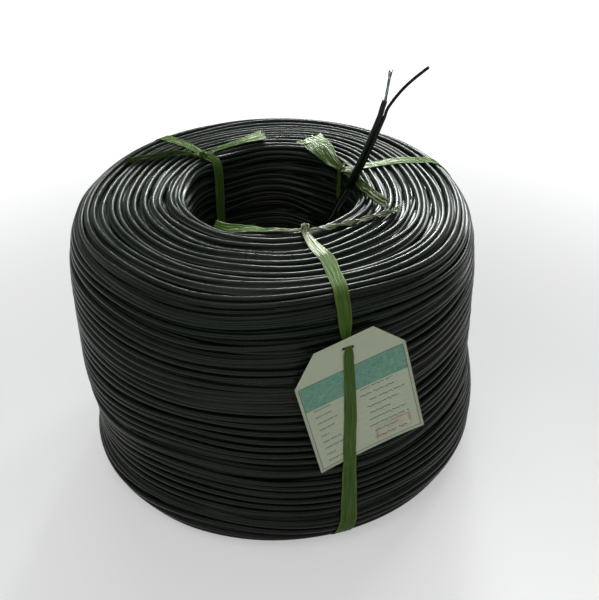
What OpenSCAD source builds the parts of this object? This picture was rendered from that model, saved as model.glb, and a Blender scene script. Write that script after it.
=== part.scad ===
// A tied coil of self-supporting figure-8 telephone drop cable, standing on its end.
// The origin is at the middle of the base, +Z runs up the bore and -Y faces the front.

/* [Cable] */
// Diameter of the jacket over the conductor pair
core_d = 4.6; // [4:0.1:5.2]
// Diameter of the messenger wire with its jacket
messenger_d = 2.6; // [2:0.1:3]
// Width of the web that joins the two
web_w = 0.6; // [0.3:0.1:1]

/* [Coil] */
// Outer diameter of the coil
coil_d = 360; // [320:5:420]
// Diameter of the open bore
bore_d = 148; // [120:4:180]
// Height at the inner rim, where the coil is highest
coil_h = 258; // [220:2:300]
// How far the end face falls from the inner rim to the shoulder
crown_drop = 6; // [2:1:12]
// How far the shoulder reaches in from the side
shoulder_w = 48; // [30:1:60]
// How far the shoulder reaches down from the end face
shoulder_h = 86; // [50:2:100]
// Radius of the inner rim
rim_r = 10; // [6:1:16]
// Radius of the edge between the side and the base
foot_r = 22; // [14:1:30]
// Radius of the edge between the bore and the base
inner_foot_r = 8; // [6:1:12]
// Distance from turn to turn over the coil's surface
turn_pitch = 7.3; // [6.8:0.1:8]
// How deep between the crests the messenger sides of the turns lie
groove_d = 2.9; // [2.4:0.1:3.2]
// How far the lowest turns are pressed flat by the coil's weight
base_flat = 0.3; // [0.1:0.1:0.6]

/* [Slipped layers] */
// How far each layer is pressed into the next
layer_lap = 0.3; // [0.1:0.1:0.6]
// How far the lower layers have slipped to the right
slip = 12; // [4:1:16]
// Height where the slip starts
slip_top = 100; // [90:1:110]
// Height where the slip is full
slip_full = 48; // [40:1:60]
// How far the foot has stayed back from the full slip
foot_back = 5; // [0:1:8]
// Height where the foot starts to stay back
foot_back_top = 25; // [20:1:34]

/* [Ties] */
// Width of the film band where it lies flat
tie_w = 11; // [8:1:11]
// Thickness of the folded film
film_t = 0.5; // [0.4:0.1:0.8]
// Gap between the film and the crests of the turns
tie_seat = 0.3; // [0.2:0.1:0.5]
// Radius of the knots
knot_r = 4.5; // [3.5:0.5:6]
// How far out from the bore's wall the knots of the front and left ties lie
knot_out = 8; // [6:1:14]
// How far out from the bore's wall the knot of the right tie lies, on the inner curve of the rim
low_knot_out = 1; // [1:0.5:4]

/* [Label] */
// Width of the card
label_w = 94; // [80:1:100]
// Height of the card
label_h = 120; // [105:1:130]
// Thickness of the card
label_t = 0.4; // [0.3:0.1:0.6]
// Width of each clipped corner
clip_w = 22; // [16:1:26]
// Height of each clipped corner
clip_h = 26; // [18:1:30]
// How far the card's middle hangs below the top of the coil
label_drop = 94; // [90:1:100]
// How far the card is turned in its own plane
label_tilt = 16; // [0:1:20]
// Where the card hangs, in degrees from the front
label_angle = 21.5; // [19:0.5:23]
// Gap between the card and the crests of the turns
label_seat = 0.3; // [0.2:0.1:0.5]
// How far the slit lies below the card's upper edge
slit_down = 12; // [8:1:16]
// Height of the slit
slit_h = 4; // [4:0.5:6]
// Room for the film at each end of the slit
slit_gap = 1.5; // [1:0.5:3]

/* [Free end] */
// Thickness of the web between the two wires
web_t = 0.8; // [0.6:0.1:1.2]
// Diameter of each insulated conductor
conductor_d = 0.95; // [0.8:0.05:1]
// How far the conductors' middle lines stand from the core's middle
conductor_gap = 0.9; // [0.8:0.05:1.2]

/* [Hidden] */
$fn = 48;
film_colour = [0.36, 0.5, 0.16];

core_r = core_d / 2;
messenger_r = messenger_d / 2;
cable_w = core_d + web_w + messenger_d;
coil_r = coil_d / 2;
bore_r = bore_d / 2;
shoulder_n = 3;
crown_z = coil_h - crown_drop;
crown_w = coil_r - shoulder_w - bore_r - rim_r;

// Each tie: its angle from the front, its knot as [turn from the tie, distance out from the bore's wall],
// and its two free ends as stations [turn from the tie, distance out from the knot, share of the film's
// width, height over the crests]
ties = [
    [20, [-1.5, knot_out],
        [[-9, 0, 0.4, 1.5], [-17, -2, 0.5, 1], [-26, -4, 0.65, 1], [-35, -4, 0.8, 1], [-46, -4, 0.95, 1],
            [-58, -4, 1.2, 1]],
        [[6, 3, 0.4, 1.5], [16, 6, 0.4, 1.2], [25, 10, 0.4, 1.2], [33, 15, 0.4, 1.2], [40, 23, 0.45, 1.2],
            [48, 35, 0.6, 1.5]]],
    [112, [3, low_knot_out],
        [[12, 1, 0.4, 4], [24, 4, 0.8, 3], [36, 9, 1.4, 3], [47, 14, 2.2, 4]],
        [[-8, 2.5, 0.4, 1.2], [-15, 3.6, 0.38, 1], [-21, 4, 0.6, 1.2], [-28, 6, 0.85, 1.5],
            [-36, 13, 0.9, 1.5], [-41, 24, 0.85, 1.5], [-44, 31, 0.8, 1.5]]],
    [227, [-0.5, knot_out],
        [[-8, 4, 0.5, 1.5], [-16, 6, 0.65, 1.5], [-26, 8, 0.85, 1.5], [-34, 10, 1.25, 2],
            [-40, 13, 1.8, 2.5], [-44, 14.5, 2.3, 3.5]],
        [[6, 14, 0.5, 1.2], [14, 22, 0.7, 1.2], [22, 29, 0.85, 1.5], [27, 39, 1.1, 1.5],
            [28, 51, 1.25, 1.5]]]];
// How far the flat film stands off the hollow of the bore at the middle of its width
bore_sag = pow(tie_w, 2) / (8 * bore_r);
// The grooves under the ties: how much wider than the film, and how high above the base
groove_gap = 0.5;
groove_z = 2 * tie_seat + film_t;

// The slit lies where the front tie's plane meets the card, and the band comes out through it
label_z = coil_h - label_drop;
slit_x = -(coil_r + label_seat) * tan(label_angle - ties[0][0]);
slit_z = label_z + (label_h / 2 - slit_down) / cos(label_tilt) + slit_x * tan(label_tilt);
slit_w = tie_w + 2 * slit_gap;
label_low = label_z - label_h / 2 / cos(label_tilt) + (slit_x - slit_w / 2) * tan(label_tilt);
label_lift = label_seat + label_t + tie_seat;
// Height over which the band steps back in below the card
jog = 4;

// The free end: points on the cable's middle line as [distance in from the bore's wall, angle from +X,
// height over the inner rim], and how far the cable's flat side turns from upright
tail = [
    [4.8, 46, -62, 0], [4.5, 35, -52, 0], [5, 26, -37, 15], [5, 17, -22, 40],
    [4.5, 8, -8, 70], [-2, 6, 10, 90], [-8, 5.5, 27, 90], [-14, 5, 47, 90], [-18, 5, 59, 90]];
tail_line = [for (s = tail) [(bore_r - s[0]) * cos(s[1]), (bore_r - s[0]) * sin(s[1]), coil_h + s[2]]];
// Past the split, from the last of those points
split_at = tail_line[len(tail_line) - 1];
core_leg = [for (p = [[0, 7], [3, 14]]) split_at + [p[0], 0, p[1]]];
messenger_leg = [for (p = [[6, 6], [11, 14], [16, 23], [23, 32], [37, 44]]) split_at + [p[0], 0, p[1]]];
conductor_line = [for (p = [[3.5, 14.3], [4, 21], [6, 30], [7, 42]]) split_at + [p[0], 0, p[1]]];
core_sides = 12;
messenger_sides = 9;

// Points on an arc, and on a superellipse quarter with its normal times off added
function arc(c, r, a0, a1, n) = [for (i = [0:n]) let (a = a0 + (a1 - a0) * i / n) c + r * [cos(a), sin(a)]];
function power(x, n) = x <= 0 ? 0 : pow(x, n);
function unit(v) = v / norm(v);
function shoulder_point(a, off) =
    let (x = power(cos(a), 2 / shoulder_n), y = power(sin(a), 2 / shoulder_n),
         n = unit([power(x, shoulder_n - 1) / shoulder_w, power(y, shoulder_n - 1) / shoulder_h]))
    [coil_r - shoulder_w + shoulder_w * x, crown_z - shoulder_h + shoulder_h * y] + off * n;

// The coil's section as [r, z] points, anticlockwise from the foot of the bore, grown outwards by off.
// It reaches a little under the base, where the section is cut off.
function outline(off, n = 6) = concat(
    arc([bore_r + inner_foot_r, inner_foot_r - base_flat], inner_foot_r + off, 180, 270, n),
    arc([coil_r - foot_r, foot_r - base_flat], foot_r + off, 270, 360, n),
    [for (i = [0:2 * n]) shoulder_point(90 * i / (2 * n), off)],
    arc([bore_r + rim_r, coil_h - rim_r], rim_r + off, 90, 180, n));

// Running length at each corner of a closed path, and the point at length s, on a path of as many corners
function lengths(p, i = 0, s = 0) =
    i > len(p) ? [] : concat([s], lengths(p, i + 1, s + norm(p[(i + 1) % len(p)] - p[i % len(p)])));
function before(l, s, i = 0) = i + 2 >= len(l) || l[i + 1] > s ? i : before(l, s, i + 1);
function at(p, l, s) =
    let (i = before(l, s), t = (s - l[i]) / (l[i + 1] - l[i]))
    p[i] * (1 - t) + p[(i + 1) % len(p)] * t;

// The section's running length, and the middles of the turns' cores on it. Both have as many corners.
section_run = lengths(outline(0, 12));
core_line = outline(-core_r, 12);
section_length = section_run[len(section_run) - 1];
turns = round(section_length / turn_pitch);
// The outline's corner where the side starts, and the side's height so many turns on from the bore's foot
side_corner = 25;
function side_z(count) = foot_r - base_flat + section_length * count / turns - section_run[side_corner];
// Heights on the side up to where the slip starts: of the groove above each slipped layer, and of the
// crest below it
slip_grooves = [for (i = [0:turns]) if (side_z(i - 0.5) > foot_r && side_z(i - 0.5) < slip_top) side_z(i)];
slip_crests = [for (z = slip_grooves) z - section_length / turns / 2];
layer_edges = concat([0], slip_grooves, [coil_h]);

// How far the layer at a height has slipped
function ease(t) = let (u = min(max(t, 0), 1)) u * u * (3 - 2 * u);
function slip_at(z) =
    slip * ease((slip_top - z) / (slip_top - slip_full))
    - foot_back * ease((foot_back_top - z) / foot_back_top);
function layer_slip(i) = slip_at((layer_edges[i] + layer_edges[i + 1]) / 2);

// The section between two heights. Each turn of the outer layer shows its core, with its messenger tucked
// in beside it at the bottom of the groove.
module layer_section(low, high) {
    intersection() {
        union() {
            polygon(outline(-groove_d));
            for (i = [0:turns - 1]) {
                middle = at(core_line, section_run, section_length * (i + 0.5) / turns);
                if (middle[1] > low - core_r && middle[1] < high + core_r) translate(middle) circle(core_r);
            }
        }
        translate([0, low]) square([coil_r, high - low]);
    }
}

module cable_coil() {
    color([0.05, 0.055, 0.055]) difference() {
        for (i = [0:len(layer_edges) - 2])
            translate([layer_slip(i), 0, 0]) rotate_extrude()
                layer_section(layer_edges[i], min(layer_edges[i + 1] + layer_lap, coil_h));
        // Each tie presses its own groove into the turns under it, so that the coil stands on its turns
        for (tie = ties)
            in_plane(tie[0]) translate([bore_r - slip - 1, -1])
                square([coil_r - bore_r + 2 * slip + 2, 1 + groove_z]);
    }
}

// Stands a flat [r, z] shape up at an angle from the front, width thick
module in_plane(angle, width = tie_w + 2 * groove_gap) {
    rotate([0, 0, angle - 90]) rotate([90, 0, 0]) linear_extrude(width, center = true) children();
}

// The faces between two rings of n points that start at points a and b
function walls(a, b, n) =
    [for (k = [0:n - 1]) let (next = (k + 1) % n)
        each [[a + k, b + k, b + next], [a + k, b + next, a + next]]];

// A solid through rings of points, all rings with as many points
module sweep(rings) {
    n = len(rings[0]);
    last = len(rings) - 1;
    polyhedron(
        points = [for (ring = rings) each ring],
        faces = concat(
            [[for (k = [0:n - 1]) k]],
            [for (i = [0:last - 1]) each walls(i * n, (i + 1) * n, n)],
            [[for (k = [n - 1:-1:0]) last * n + k]]));
}

// Direction along a path at point i, and the direction across it that lies nearest a hint
function along(p, i) = unit(p[min(i + 1, len(p) - 1)] - p[max(i - 1, 0)]);
function across(hint, t) = unit(hint - (hint * t) * t);

// Rings round a path: section points [a, b] run across the hint's way and square to it
function rings(p, hints, section) =
    [for (i = [0:len(p) - 1])
        let (t = along(p, i), u = across(hints[i], t), v = cross(t, u))
        [for (q = section) p[i] + q[0] * u + q[1] * v]];
function round_section(r, sides) =
    [for (k = [0:sides - 1]) r * [cos(360 * k / sides), sin(360 * k / sides)]];

// Height and outward direction of the end face's crests at radius r
function top_z(r) =
    r < bore_r + rim_r ? coil_h - rim_r + sqrt(max(0, pow(rim_r, 2) - pow(bore_r + rim_r - r, 2)))
                       : coil_h - crown_drop * (r - bore_r - rim_r) / crown_w;
function top_out(r) =
    r < bore_r + rim_r ? [(r - bore_r - rim_r) / rim_r, (top_z(r) - coil_h + rim_r) / rim_r]
                       : unit([crown_drop / crown_w, 1]);
function round_axis(a, r, z) = [r * sin(a), -r * cos(a), z];
function on_top(a, r, lift) = let (n = top_out(r)) round_axis(a, r + lift * n[0], top_z(r) + lift * n[1]);

function out_at(a, r) = let (n = top_out(r)) round_axis(a, n[0], n[1]);

// A free end of a tie: one leaf of film that leaves the knot and follows the end face
module tie_end(angle, knot, stations) {
    all = concat([[knot[0], 0, 0.3, tie_seat + knot_r]], stations);
    p = [for (s = all) on_top(angle + s[0], bore_r + knot[1] + s[1], s[3])];
    sweep([for (i = [0:len(p) - 1])
        let (t = along(p, i), u = unit(cross(out_at(angle + all[i][0], bore_r + knot[1] + all[i][1]), t)),
             v = cross(t, u), half = tie_w * all[i][2] / 2)
        [for (q = [[-1, -1], [1, -1], [1, 1], [-1, 1]]) p[i] + q[0] * half * u + q[1] * film_t / 2 * v]]);
}

// How far the wall has moved out with layer i at an angle, on the side and in the bore. Where it moves away
// from the bore, the film hangs straight.
function side_shift(i, a) = layer_slip(i) * sin(a);
function bore_shift(i, a) = min(0, layer_slip(i) * sin(a) + bore_sag
    - pow(abs(layer_slip(i) * cos(a)) + tie_w / 2, 2) / (2 * bore_r));
function moved(points, d) = [for (p = points) [p[0] + d, p[1]]];

// The band's section in its plane: round the slipped coil, and over the label where lift stands it off
function band_outline(off, lift, a) = concat(
    moved(arc([bore_r + inner_foot_r - bore_sag, inner_foot_r], inner_foot_r + off, 180, 270, 12),
        bore_shift(0, a)),
    moved(arc([coil_r - foot_r, foot_r], foot_r + off, 270, 360, 12), side_shift(0, a)),
    [for (i = [0:len(slip_crests) - 1]) if (lift == 0 || slip_crests[i] < label_low - 2 * jog)
        [coil_r + off + side_shift(i, a), slip_crests[i]]],
    lift == 0 ? [] : [
        [coil_r + off, label_low - jog],
        [coil_r + off + lift, label_low],
        [coil_r + off + lift, slit_z - slit_h / 4]],
    [for (i = [0:24]) let (p = shoulder_point(90 * i / 24, off))
        if (lift == 0 || p[1] > slit_z + slit_h) p],
    arc([bore_r + rim_r - bore_sag, coil_h - rim_r], rim_r + off, 90, 180, 12),
    [for (i = [len(slip_grooves):-1:1])
        [bore_r - bore_sag - off + min(bore_shift(i, a), bore_shift(i - 1, a)), layer_edges[i]]]);

module tie_band(angle, lift) {
    in_plane(angle, tie_w) difference() {
        intersection() {
            polygon(band_outline(tie_seat + film_t, lift, angle));
            translate([0, tie_seat]) square([coil_d, coil_h + 2 * rim_r]);
        }
        intersection() {
            polygon(band_outline(tie_seat, lift, angle));
            translate([0, tie_seat + film_t]) square([coil_d, coil_h + 2 * rim_r]);
        }
    }
}

// One film tie: a band round the coil, its knot on the inner rim and two free ends
module tie(k, lift = 0) {
    angle = ties[k][0];
    knot = ties[k][1];
    color(film_colour) union() {
        tie_band(angle, lift);
        translate(on_top(angle + knot[0], bore_r + knot[1], tie_seat + film_t / 3 + knot_r))
            sphere(knot_r, $fn = 12);
        tie_end(angle, knot, ties[k][2]);
        tie_end(angle, knot, ties[k][3]);
    }
}
module tie_front() { tie(0, label_lift); }
module tie_right() { tie(1); }
module tie_left() { tie(2); }

// A card with two clipped corners and a slit for the tie, flat against the side of the coil
module label_tag() {
    color([0.85, 0.9, 0.84])
        rotate([0, 0, label_angle]) translate([0, -coil_r - label_seat, label_z]) rotate([90, 0, 0])
            linear_extrude(label_t) difference() {
                rotate([0, 0, label_tilt]) polygon([
                    [-label_w / 2, -label_h / 2], [label_w / 2, -label_h / 2],
                    [label_w / 2, label_h / 2 - clip_h], [label_w / 2 - clip_w, label_h / 2],
                    [clip_w - label_w / 2, label_h / 2], [-label_w / 2, label_h / 2 - clip_h]]);
                translate([slit_x, slit_z - label_z]) square([slit_w, slit_h], center = true);
            }
}

// The free end of the cable: it leaves the bore wall, stands up and splits into its two wires.
// Round each ring the core's points come first and the messenger's after them, open towards the web.
module cable_end() {
    hints = [for (s = tail) [sin(s[3]), 0, cos(s[3])]];
    core = open_round(core_r, core_sides, 0, core_r - cable_w / 2);
    messenger = open_round(messenger_r, messenger_sides, 180, cable_w / 2 - messenger_r);
    joined = rings(tail_line, hints, concat(core, messenger));
    core_rings = rings(core_leg, [for (p = core_leg) [1, 0, 0]], open_round(core_r, core_sides, 0, 0));
    messenger_rings = rings(messenger_leg, [for (p = messenger_leg) [1, 0, 0]],
        open_round(messenger_r, messenger_sides, 180, 0));
    nj = core_sides + messenger_sides;
    last = len(joined) - 1;
    split = last * nj;
    leg_1 = (last + 1) * nj;
    leg_2 = leg_1 + len(core_rings) * core_sides;
    color([0.05, 0.055, 0.055]) polyhedron(
        points = concat([for (ring = joined) each ring], [for (ring = core_rings) each ring],
            [for (ring = messenger_rings) each ring]),
        faces = concat(
            [[for (k = [0:nj - 1]) k]],
            [for (i = [0:last - 1]) each walls(i * nj, (i + 1) * nj, nj)],
            [[split + core_sides - 1, split, split + nj - 1, split + core_sides]],
            leg_faces(split, leg_1, core_sides, len(core_rings)),
            leg_faces(split + core_sides, leg_2, messenger_sides, len(messenger_rings))));
}

// Points round a wire's section, short of the web on the side at angle a, with its centre moved across by d
function open_round(r, sides, a, d) =
    let (gap = asin(web_t / 2 / r))
    [for (k = [0:sides - 1]) let (b = a + gap + (360 - 2 * gap) * k / (sides - 1))
        [d + r * cos(b), r * sin(b)]];
function leg_faces(from, to, n, count) = concat(
    walls(from, to, n),
    [for (i = [0:count - 2]) each walls(to + i * n, to + (i + 1) * n, n)],
    [[for (k = [n - 1:-1:0]) to + (count - 1) * n + k]]);

// Four insulated conductors that stand out of the stripped jacket, none touching another
module conductors() {
    color([0.35, 0.6, 0.55])
        for (k = [0:3]) {
            spread = [for (p = conductor_line) conductor_gap * [cos(90 * k + 45), sin(90 * k + 45), 0]];
            n = len(conductor_line) - (k % 2);
            p = [for (i = [0:n - 1]) conductor_line[i] + spread[i] * (1 + 0.4 * i)];
            sweep(rings(p, [for (q = p) [1, 0, 0]], round_section(conductor_d / 2, 8)));
        }
}

cable_coil();
cable_end();
conductors();
tie_front();
tie_right();
tie_left();
label_tag();
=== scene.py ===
"""A tied coil of black figure-8 telephone drop cable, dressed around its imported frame."""

import math

import bmesh
import bpy
import numpy as np
from mathutils import Matrix, Vector
from mathutils.bvhtree import BVHTree


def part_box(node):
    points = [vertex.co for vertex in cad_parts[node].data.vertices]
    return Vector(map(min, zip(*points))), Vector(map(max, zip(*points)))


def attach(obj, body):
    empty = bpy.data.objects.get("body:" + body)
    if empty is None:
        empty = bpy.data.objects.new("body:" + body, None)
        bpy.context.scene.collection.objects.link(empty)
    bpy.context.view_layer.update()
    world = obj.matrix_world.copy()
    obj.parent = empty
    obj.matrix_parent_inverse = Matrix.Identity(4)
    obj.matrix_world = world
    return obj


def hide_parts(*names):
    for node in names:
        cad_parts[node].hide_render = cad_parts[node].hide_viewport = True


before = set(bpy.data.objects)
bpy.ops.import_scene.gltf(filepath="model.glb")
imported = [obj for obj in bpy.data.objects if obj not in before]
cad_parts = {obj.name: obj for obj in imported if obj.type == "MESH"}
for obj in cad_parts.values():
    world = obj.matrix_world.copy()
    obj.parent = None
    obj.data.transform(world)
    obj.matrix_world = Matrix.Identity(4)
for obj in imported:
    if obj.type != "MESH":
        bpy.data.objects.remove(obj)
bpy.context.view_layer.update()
MM = 0.001

# The cable: a jacketed core and a jacketed messenger wire, joined by a web
CORE_R = 2.3 * MM
MESSENGER_R = 1.3 * MM
WEB_W = 0.6 * MM
WEB_T = 0.8 * MM
CABLE_W = 2 * CORE_R + WEB_W + 2 * MESSENGER_R
CORE_MID = CORE_R - CABLE_W / 2
MESSENGER_MID = CABLE_W / 2 - MESSENGER_R

# The coil's section, as it was wound
coil_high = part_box("cable_coil")[1]
COIL_R = round(coil_high.y, 3)
COIL_H = round(coil_high.z, 3)
BORE_R = 74 * MM
CROWN_DROP = 6 * MM
SHOULDER_W = 36 * MM
SHOULDER_H = 88 * MM
SHOULDER_POWER = 3
RIM_R = 10 * MM
FOOT_R = 22 * MM
INNER_FOOT_R = 8 * MM
TURN_PITCH = 7.3 * MM
TUCK = 0.5
SUNKEN_DEPTH = 3.2 * MM
# The solid heart behind the turns: how deep it lies, and how high over the floor
HEART_DEPTH = 6.5 * MM
HEART_Z = 4 * MM
# The lower layers have slipped sideways: (height where a slip starts, height where it is full, slip)
SLIPS = [(112 * MM, 48 * MM, 7 * MM), (34 * MM, 0, -7 * MM)]

# The ties
FRONT_TIE = math.radians(17.2)
FILM_W = 11 * MM
FILM_T = 0.12 * MM
FILM_STEP = 1.5 * MM
KNOT = 3.1 * MM
BAND_LIFT = 0.35 * MM
END_LIFT = 0.4 * MM
# Probes find a film's seat: where they start, how far they reach, and its height if they find nothing
PROBE_FROM = 15 * MM
PROBE_REACH = 27 * MM
NO_SEAT = -2.5 * MM

# The card
LABEL_W = 94 * MM
LABEL_H = 120 * MM
LABEL_T = 0.4 * MM
CLIP_W = 22 * MM
CLIP_H = 26 * MM
LABEL_Z = COIL_H - 96.5 * MM
LABEL_TILT = math.radians(13)
LABEL_ANGLE = math.radians(20.3)
LABEL_SEAT = 0.3 * MM
SLIT_DOWN = 9 * MM
SLIT_H = 2.5 * MM
SLIT_W = 9.5 * MM


def new_object(name, data):
    """A new object in the scene."""
    made = bpy.data.objects.new(name, data)
    bpy.context.scene.collection.objects.link(made)
    return made


# ---- camera
def set_camera():
    """The camera looks down on the coil from the front."""
    pitch, yaw, roll = 0.598, 0.029, 0.017
    camera = new_object("camera", bpy.data.cameras.new("camera"))
    camera.data.lens = 61.9
    camera.data.clip_start = 0.01
    camera.matrix_world = (
        Matrix.Translation((0, -0.792, 0.678)) @ Matrix.Rotation(-yaw, 4, "Z")
        @ Matrix.Rotation(math.pi / 2 - pitch, 4, "X") @ Matrix.Rotation(-roll, 4, "Z"))
    bpy.context.scene.camera = camera


# ---- node trees
class Wire:
    """A number in a node tree. Arithmetic on it adds Math nodes."""

    def __init__(self, graph, socket):
        self.graph, self.socket = graph, socket

    def __add__(self, other):
        return self.graph.math("ADD", self, other)

    def __sub__(self, other):
        return self.graph.math("SUBTRACT", self, other)

    def __rsub__(self, other):
        return self.graph.math("SUBTRACT", other, self)

    def __mul__(self, other):
        return self.graph.math("MULTIPLY", self, other)

    def __truediv__(self, other):
        return self.graph.math("DIVIDE", self, other)

    __radd__ = __add__
    __rmul__ = __mul__


class Graph:
    """Wires up one node tree, of geometry or of a material."""

    def __init__(self, tree):
        self.tree = tree

    def node(self, kind, inputs=(), **settings):
        made = self.tree.nodes.new(kind)
        for name, value in settings.items():
            setattr(made, name, value)
        for key, value in dict(inputs).items():
            socket = made.inputs[key] if isinstance(key, int) else self.named(made.inputs, key)
            if isinstance(value, Wire):
                self.tree.links.new(value.socket, socket)
            else:
                socket.default_value = value
        return made

    @staticmethod
    def named(sockets, name):
        return next(s for s in sockets if s.enabled and s.name == name)

    def wire(self, kind, inputs=(), output=0, **settings):
        made = self.node(kind, inputs, **settings)
        socket = made.outputs[output] if isinstance(output, int) else self.named(made.outputs, output)
        return Wire(self, socket)

    def math(self, operation, a, b=0.0):
        return self.wire("ShaderNodeMath", {0: a, 1: b}, operation=operation)

    def vector(self, operation, a, b=(0, 0, 0), output=0):
        return self.wire("ShaderNodeVectorMath", {0: a, 1: b}, output, operation=operation)

    def scaled(self, a, factor):
        return self.wire("ShaderNodeVectorMath", {0: a, "Scale": factor}, operation="SCALE")

    def combine(self, x=0.0, y=0.0, z=0.0):
        return self.wire("ShaderNodeCombineXYZ", {0: x, 1: y, 2: z})

    def separate(self, vector):
        return [Wire(self, s) for s in self.node("ShaderNodeSeparateXYZ", {0: vector}).outputs]

    def noise(self, vector, scale=1.0, detail=0.0, roughness=0.5):
        """Smooth noise from -1 to 1, mostly within half of that."""
        return self.wire("ShaderNodeTexNoise", {
            "Vector": vector, "Scale": scale, "Detail": detail, "Roughness": roughness}) * 2.0 - 1.0

    def lot(self, value):
        """A number from 0 to 1 drawn for each value."""
        return self.wire("ShaderNodeTexWhiteNoise", {"W": value}, noise_dimensions="1D")

    def ramp(self, value, low, high, to_low=0.0, to_high=1.0):
        """A soft step from one number to another."""
        return self.wire("ShaderNodeMapRange", {
            "Value": value, "From Min": low, "From Max": high, "To Min": to_low, "To Max": to_high},
            interpolation_type="SMOOTHSTEP")

    def geometry(self, kind, inputs=(), output=0, **settings):
        return self.wire("GeometryNode" + kind, inputs, output, **settings)

    def store(self, geometry, name, value, kind="FLOAT"):
        return self.geometry("StoreNamedAttribute", {"Geometry": geometry, "Name": name, "Value": value},
                             data_type=kind, domain="POINT")

    def read(self, name, kind="FLOAT"):
        return self.geometry("InputNamedAttribute", {"Name": name}, "Attribute", data_type=kind)

    def move(self, geometry, value, by="Position"):
        return self.geometry("SetPosition", {"Geometry": geometry, by: value})

    def face(self, path):
        """Turns a curve's normals to its stored facing."""
        facing = self.read("facing", "FLOAT_VECTOR")
        return self.geometry("SetCurveNormal", {"Curve": path, "Normal": facing}, mode="FREE")

    def sweep(self, path, profile, **more):
        return self.geometry("CurveToMesh", {"Curve": path, "Profile Curve": profile, **more})


KINDS = {float: "NodeSocketFloat", int: "NodeSocketInt", "geometry": "NodeSocketGeometry",
         "material": "NodeSocketMaterial"}


def new_tree(name, kind, inputs, outputs):
    """A node tree with named sockets. Gives its graph, its inputs by name and its output node."""
    tree = bpy.data.node_groups.new(name, kind)
    for key, value in inputs.items():
        socket = tree.interface.new_socket(
            key, in_out="INPUT", socket_type=KINDS[value if value in KINDS else type(value)])
        if isinstance(value, (int, float)):
            socket.default_value = value
    for key, value in outputs.items():
        tree.interface.new_socket(key, in_out="OUTPUT", socket_type=KINDS[value])
    graph = Graph(tree)
    given = {s.name: Wire(graph, s) for s in tree.nodes.new("NodeGroupInput").outputs if s.name}
    return graph, given, tree.nodes.new("NodeGroupOutput")


def grow(name, mesh, tree, **values):
    """Runs a geometry tree on a mesh, and gives the plain mesh object that comes out."""
    seed = new_object(name + "_path", mesh)
    modifier = seed.modifiers.new("grow", "NODES")
    modifier.node_group = tree
    for item in tree.interface.items_tree:
        if item.in_out == "INPUT" and item.name in values:
            modifier[item.identifier] = values.pop(item.name)
    assert not values, values
    bpy.context.view_layer.update()
    evaluated = seed.evaluated_get(bpy.context.evaluated_depsgraph_get())
    grown = bpy.data.meshes.new_from_object(evaluated)
    grown.name = name
    bpy.data.objects.remove(seed)
    return new_object(name, grown)


def path_mesh(name, points, **attributes):
    """A chain of edges with its attributes, for a tree to run along."""
    mesh = bpy.data.meshes.new(name)
    mesh.from_pydata([tuple(p) for p in points], [(i, i + 1) for i in range(len(points) - 1)], [])
    for key, values in attributes.items():
        values = np.array(values, np.float32)
        kind, field = ("FLOAT_VECTOR", "vector") if values.ndim > 1 else ("FLOAT", "value")
        mesh.attributes.new(key, kind, "POINT").data.foreach_set(field, values.ravel())
    return mesh


# ---- the coil's form
ARC_STEPS = 12
SHOULDER_STEPS = 24
# The first steps of the shoulder belong to the side, and the others to the end face
SIDE_STEPS = 9


def arc(centre, radius, start, end):
    angles = np.radians(np.linspace(start, end, ARC_STEPS + 1))
    return [(centre[0] + radius * math.cos(a), centre[1] + radius * math.sin(a)) for a in angles]


def shoulder(grow_by):
    """A quarter of a superellipse from the side up to the end face."""
    points = []
    for a in np.linspace(0, math.pi / 2, SHOULDER_STEPS + 1):
        x = max(math.cos(a), 0) ** (2 / SHOULDER_POWER)
        y = max(math.sin(a), 0) ** (2 / SHOULDER_POWER)
        n = np.array([x ** (SHOULDER_POWER - 1) / SHOULDER_W, y ** (SHOULDER_POWER - 1) / SHOULDER_H])
        n = n / np.linalg.norm(n) * grow_by
        points.append((COIL_R - SHOULDER_W + SHOULDER_W * x + n[0],
                       COIL_H - CROWN_DROP - SHOULDER_H + SHOULDER_H * y + n[1]))
    return points


def section(grow_by=0.0):
    """The coil's section as closed (r, z) points, anticlockwise from the foot of the bore."""
    points = arc((BORE_R + INNER_FOOT_R, INNER_FOOT_R), INNER_FOOT_R + grow_by, 180, 270)
    points += arc((COIL_R - FOOT_R, FOOT_R), FOOT_R + grow_by, 270, 360)
    points += shoulder(grow_by)
    points += arc((BORE_R + RIM_R, COIL_H - RIM_R), RIM_R + grow_by, 90, 180)
    return points + points[:1]


def slip_at(z):
    """How far the layer at height z has slipped sideways."""
    total = 0.0
    for start, full, slip in SLIPS:
        t = min(max((z - start) / (full - start), 0.0), 1.0)
        total += slip * t * t * (3 - 2 * t)
    return total


def around(angle, r, z):
    """The point at an angle from the front, a radius and a height, on the slipped coil."""
    return Vector((r * math.sin(angle) + slip_at(z), -r * math.cos(angle), z))


def outward(angle, r_way, z_way):
    """A way in the section, turned to an angle from the front."""
    return Vector((r_way * math.sin(angle), -r_way * math.cos(angle), z_way))


def step_at(points, k):
    """The step from the point before k to the one after it."""
    return points[min(k + 1, len(points) - 1)] - points[max(k - 1, 0)]


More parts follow.
